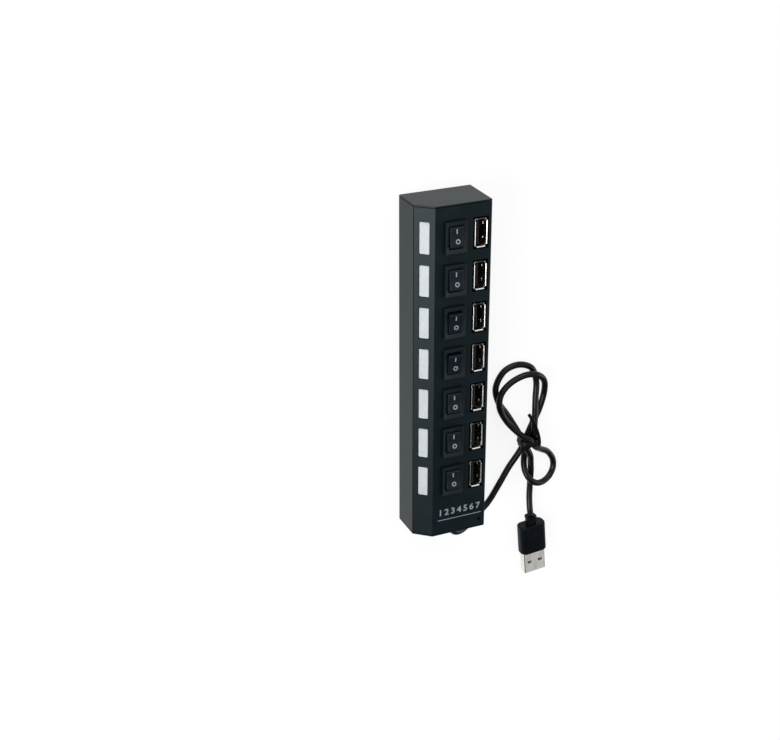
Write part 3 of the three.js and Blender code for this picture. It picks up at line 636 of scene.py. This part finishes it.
def rocker_bm():
    """A rocker about its pivot, lying along Y."""
    bm = bmesh.new()
    half_steps = (
        0.0008, 0.0018, 0.0030, 0.00395, 0.0042, 0.00442, 0.0046, 0.00472, 0.00482, 0.0049,
    )
    steps = [-step for step in reversed(half_steps)] + [0.0] + list(half_steps)
    crown = [(along, crown_height(along)) for along in steps]
    half_belly = [(0.0045, -0.0010), (0.0030, -0.0027), (0.0010, -0.0036)]
    belly = half_belly + [(-along, up) for along, up in reversed(half_belly)]
    outline = [bm.verts.new((-rocker_half.x, along, up)) for along, up in crown + belly]
    side = bm.faces.new(outline)
    grown = bmesh.ops.extrude_face_region(bm, geom=[side])["geom"]
    far_side = [v for v in grown if isinstance(v, bmesh.types.BMVert)]
    bmesh.ops.translate(bm, vec=(2 * rocker_half.x, 0, 0), verts=far_side)
    bmesh.ops.recalc_face_normals(bm, faces=bm.faces)
    sharp = [e for e in bm.edges if e.calc_face_angle() > math.radians(30)]
    bmesh.ops.bevel(
        bm, geom=sharp, offset=rocker_edge, segments=3, profile=0.5, affect="EDGES", material=-1
    )
    return bm


def ring_bm(outer, inner, height):
    """A flat printed ring."""
    bm = bmesh.new()
    bmesh.ops.create_circle(bm, segments=40, radius=outer)
    rim = bm.edges[:]
    grown = bmesh.ops.extrude_edge_only(bm, edges=rim)["geom"]
    verts = [v for v in grown if isinstance(v, bmesh.types.BMVert)]
    bmesh.ops.scale(bm, vec=(inner / outer, inner / outer, 1), verts=verts)
    bmesh.ops.solidify(bm, geom=bm.faces[:], thickness=height)
    bmesh.ops.recalc_face_normals(bm, faces=bm.faces)
    return bm


for number in range(1, 8):
    housing = f"switch_housing_{number}"
    low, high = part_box(housing)
    centre = (low + high) / 2
    housing_bm = softened(housing, housing_edge, 2)
    piece = finished(
        housing + "_frame", housing_bm, housing_nylon, "hub", crease=12
    )
    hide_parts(housing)

    rocker = f"rocker_{number}"
    tilt = math.radians(rocker_tilt if number in (3, 4) else -rocker_tilt)
    seat = Matrix.Translation((centre.x, centre.y, pivot_height)) @ Matrix.Rotation(tilt, 4, "X")
    bm = rocker_bm()
    bmesh.ops.transform(bm, matrix=seat, verts=bm.verts)
    paddle = finished(rocker + "_paddle", bm, rocker_nylon, rocker)
    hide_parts(rocker)
    bar = rounded_block(
        (-bar_half_width, -bar_half_length, -legend_sink),
        (bar_half_width, bar_half_length, legend_thickness),
        bar_corner, 0, 2, 2,
    )
    ring = ring_bm(ring_outer, ring_inner, legend_thickness)
    for name, mark, (across, along) in (("bar", bar, bar_spot), ("ring", ring, ring_spot)):
        facet = rocker_slope if along > 0 else -rocker_slope
        rise = abs(along) * math.tan(rocker_slope) + legend_thickness
        height = rocker_half.z - rocker_dish + rise
        spot = seat @ Matrix.Translation((across, along, height)) @ Matrix.Rotation(facet, 4, "X")
        bmesh.ops.transform(mark, matrix=spot, verts=mark.verts)
        finished(f"{rocker}_{name}_legend", mark, legend_ink, rocker)

# Sockets: a nickel-plated shell formed round a black tongue, its mouth rolled out into four lips.
# Two leaf springs on each broad side grip the plug, and four contacts lie on the tongue.
shell_half = Vector((0.00285, 0.00655, 0))
shell_top = 0.0227
shell_wall = 0.0003
shell_corner = 0.0008
shell_inner_corner = 0.0005
rim_drop = 0.0010
lip_roll = 0.00045
long_lip_half = 0.00550
short_lip_half = 0.00205
spring_depth = 0.0036
spring_spot = 0.0034
spring_sheet = 0.00022
spring_half_width = 0.0006
tongue_edge = 0.0001
finger_face = -0.0003
finger_half_width = 0.00045
finger_sheet = 0.00022
finger_length = 0.0050
finger_drop = 0.0078


def outline_bm(outer, inner, low, high):
    """A closed ring of upright walls between two outlines with as many points each."""
    bm = bmesh.new()
    loops = [
        [bm.verts.new((x, y, z)) for x, y in outline]
        for outline, z in ((outer, low), (outer, high), (inner, high), (inner, low))
    ]
    for first, second in zip(loops, loops[1:] + loops[:1]):
        for i in range(len(outer)):
            bm.faces.new((first[i - 1], first[i], second[i], second[i - 1]))
    bmesh.ops.recalc_face_normals(bm, faces=bm.faces)
    return bm


def round_outline(half_x, half_y, radius, steps=5):
    """Points round a rectangle with round corners."""
    points = []
    for quarter, (sign_x, sign_y) in enumerate(((1, -1), (1, 1), (-1, 1), (-1, -1))):
        for step in range(steps + 1):
            angle = math.radians(-90 + 90 * quarter + 90 * step / steps)
            points.append((
                sign_x * (half_x - radius) + radius * math.cos(angle),
                sign_y * (half_y - radius) + radius * math.sin(angle),
            ))
    return points


def bent_bm(profile, thickness, half_length):
    """A bent strip of sheet. Its middle line is this profile of (across, up)."""
    bm = bmesh.new()
    sides = []
    for offset in (thickness / 2, -thickness / 2):
        side = []
        for i, spot in enumerate(profile):
            ahead = Vector(profile[min(i + 1, len(profile) - 1)])
            run = (ahead - Vector(profile[max(i - 1, 0)])).normalized()
            side.append((spot[0] - run.y * offset, spot[1] + run.x * offset))
        sides.append(side)
    ring = sides[0] + sides[1][::-1]
    ends = [[bm.verts.new((x, y, z)) for x, z in ring] for y in (-half_length, half_length)]
    for i in range(len(ring)):
        bm.faces.new((ends[0][i - 1], ends[0][i], ends[1][i], ends[1][i - 1]))
    for i in range(len(profile) - 1):
        j = len(ring) - 1 - i
        for end in ends:
            bm.faces.new((end[i], end[i + 1], end[j - 1], end[j]))
    bmesh.ops.recalc_face_normals(bm, faces=bm.faces)
    return bm


lip_start = shell_half.x - shell_wall / 2
lip_height = shell_top - shell_wall / 2
lip_profile = [(lip_start, shell_top - rim_drop)]
for angle in range(0, 85, 12):
    roll = math.radians(angle)
    lip_profile.append((
        lip_start + lip_roll * (1 - math.cos(roll)),
        lip_height - lip_roll + lip_roll * math.sin(roll),
    ))
spring_profile = [
    (0.0, 0.0), (-0.00006, -0.0006), (-0.00030, -0.0014), (-0.00052, -0.0023),
    (-0.00056, -0.0029), (-0.00046, -0.0037), (-0.00024, -0.0047), (-0.00004, -0.0056),
]
for number in range(1, 8):
    shell = f"socket_shell_{number}"
    low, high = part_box(shell)
    seat = Matrix.Translation(((low.x + high.x) / 2, (low.y + high.y) / 2, 0))
    parts = [(
        outline_bm(
            round_outline(shell_half.x, shell_half.y, shell_corner),
            round_outline(
                shell_half.x - shell_wall, shell_half.y - shell_wall, shell_inner_corner
            ),
            low.z, shell_top - rim_drop,
        ),
        seat,
    )]
    for side in range(4):
        half_length, shift = long_lip_half, 0
        if side % 2:
            half_length, shift = short_lip_half, shell_half.y - shell_half.x
        spot = Matrix.Rotation(side * math.pi / 2, 4, "Z") @ Matrix.Translation((shift, 0, 0))
        parts.append((bent_bm(lip_profile, shell_wall, half_length), seat @ spot))
    for side, turn in ((1, 0), (-1, math.pi)):
        inner_face = side * (shell_half.x - shell_wall)
        for along in (-spring_spot, spring_spot):
            spot = Matrix.Translation((inner_face, along, shell_top - spring_depth))
            spring = bent_bm(spring_profile, spring_sheet, spring_half_width)
            parts.append((spring, seat @ spot @ Matrix.Rotation(turn, 4, "Z")))
    sheet = finished(shell + "_sheet", gathered(parts), nickel, "hub")
    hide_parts(shell)

    tongue = f"socket_tongue_{number}"
    low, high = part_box(tongue)
    tongue_bm = softened(tongue, tongue_edge, 2)
    block = finished(tongue + "_block", tongue_bm, contact_plastic, "hub")
    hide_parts(tongue)
    fingers = []
    for along in contact_spots:
        finger = rounded_block(
            (0, -finger_half_width, 0), (finger_sheet, finger_half_width, finger_length),
            plug_edge, 0, 2, 2,
        )
        spot = Matrix.Translation((finger_face, along, high.z - finger_drop))
        fingers.append((finger, seat @ spot))
    finished(f"socket_contacts_{number}", gathered(fingers), gold, "hub")

# Printing: the seven socket numbers with a rule under them, in thin pale ink. They are printed on
# the panel between the last socket and the lead end.
panel_ink = Finish("panel_ink", (0.19, 0.21, 0.23), 0.55)
panel_ink.set("Roughness", 0.5 + 0.15 * panel_ink.grain(0.0005, 3))
ink_height = 0.02252
ink_half_depth = 0.00001
numeral_size = 0.0046
numeral_weight = 0.00010
numeral_pitch = 0.0033
first_numeral = Vector((-0.0060, -0.0727, ink_height))
rule_start = -0.0074
rule_end = 0.0156
rule_place = -0.0752
rule_half_width = 0.00017
rule_corner = 0.0001
marks = []
for number in range(1, 8):
    text = bpy.data.curves.new("numeral", "FONT")
    text.body = str(number)
    text.size = numeral_size
    text.offset = numeral_weight
    text.align_x = "CENTER"
    text.extrude = ink_half_depth
    holder = bpy.data.objects.new("numeral", text)
    mesh = bpy.data.meshes.new_from_object(holder)
    bpy.data.objects.remove(holder)
    bm = bmesh.new()
    bm.from_mesh(mesh)
    bpy.data.meshes.remove(mesh)
    shift = Vector((numeral_pitch * (number - 1), 0, 0))
    marks.append((bm, Matrix.Translation(first_numeral + shift)))
rule = rounded_block(
    (rule_start, -rule_half_width, -ink_half_depth), (rule_end, rule_half_width, ink_half_depth),
    rule_corner, 0, 2, 2,
)
marks.append((rule, Matrix.Translation((0, rule_place, ink_height))))
finished("panel_printing", gathered(marks), panel_ink, "hub")

# Studio: a white floor under the hub, a sky that darkens towards the lead end, and soft light from
# the top end and both sides. A small light at the lead end picks out the plug's metal.
floor_half = 40
floor_bm = bmesh.new()
bmesh.ops.create_grid(floor_bm, x_segments=1, y_segments=1, size=floor_half)
floor_mesh = bpy.data.meshes.new("floor")
floor_bm.to_mesh(floor_mesh)
floor_bm.free()
floor = bpy.data.objects.new("floor", floor_mesh)
bpy.context.scene.collection.objects.link(floor)
white = Finish("floor_white", (0.9, 0.9, 0.9), 0.9)
rays = white.tree.nodes.new("ShaderNodeLightPath")
camera_ray, glossy_ray, through_ray = [
    Level(white, rays.outputs[name])
    for name in ("Is Camera Ray", "Is Glossy Ray", "Is Transmission Ray")
]
seen = camera_ray + glossy_ray + through_ray
glow_share = 0.86
glow = white.node("ShaderNodeEmission", {}, {"Color": (1, 1, 1, 1), "Strength": 1.0})
matt = Level(white, white.shader.outputs[0])
blend = white.node("ShaderNodeMixShader", {}, {0: glow_share * seen, 1: matt, 2: glow})
white.tree.links.new(blend.socket, white.tree.nodes["Material Output"].inputs["Surface"])
floor.data.materials.append(white.material)

world = bpy.data.worlds.new("studio")
world.use_nodes = True
sky = world.node_tree
sky.nodes["Background"].inputs["Color"].default_value = (0.96, 0.98, 1.0, 1)
heading = sky.nodes.new("ShaderNodeSeparateXYZ")
fall = sky.nodes.new("ShaderNodeMapRange")
sky.links.new(sky.nodes.new("ShaderNodeTexCoord").outputs["Generated"], heading.inputs[0])
sky.links.new(heading.outputs["Y"], fall.inputs["Value"])
sky_fall = {"From Min": -0.54, "From Max": -0.18, "To Min": 0.06, "To Max": 0.90}
for bound, value in sky_fall.items():
    fall.inputs[bound].default_value = value
sky.links.new(fall.outputs[0], sky.nodes["Background"].inputs["Strength"])
bpy.context.scene.world = world


def soft_light(name, place, target, size, power):
    """A rectangular lamp at a place, turned towards its target."""
    light = bpy.data.lights.new(name, "AREA")
    light.shape = "RECTANGLE"
    light.size, light.size_y = size
    light.energy = power
    lamp = bpy.data.objects.new(name, light)
    turn = (Vector(place) - Vector(target)).to_track_quat("Z", "Y")
    lamp.matrix_world = Matrix.Translation(place) @ turn.to_matrix().to_4x4()
    bpy.context.scene.collection.objects.link(lamp)


soft_light("top_end_light", (-0.2, 1.1, 0.55), (0, 0, 0), (1.2, 0.8), 8)
soft_light("window_side_light", (-1.02, -0.1, 0.74), (0, 0, 0), (0.7, 0.6), 12)
soft_light("socket_side_light", (1.15, -0.22, 0.55), (0, 0, 0), (0.6, 0.5), 3)
soft_light("lead_end_light", (0.62, -0.80, 0.89), (0.05, -0.12, 0), (0.25, 0.25), 0.12)

bpy.context.scene.view_settings.view_transform = "Standard"
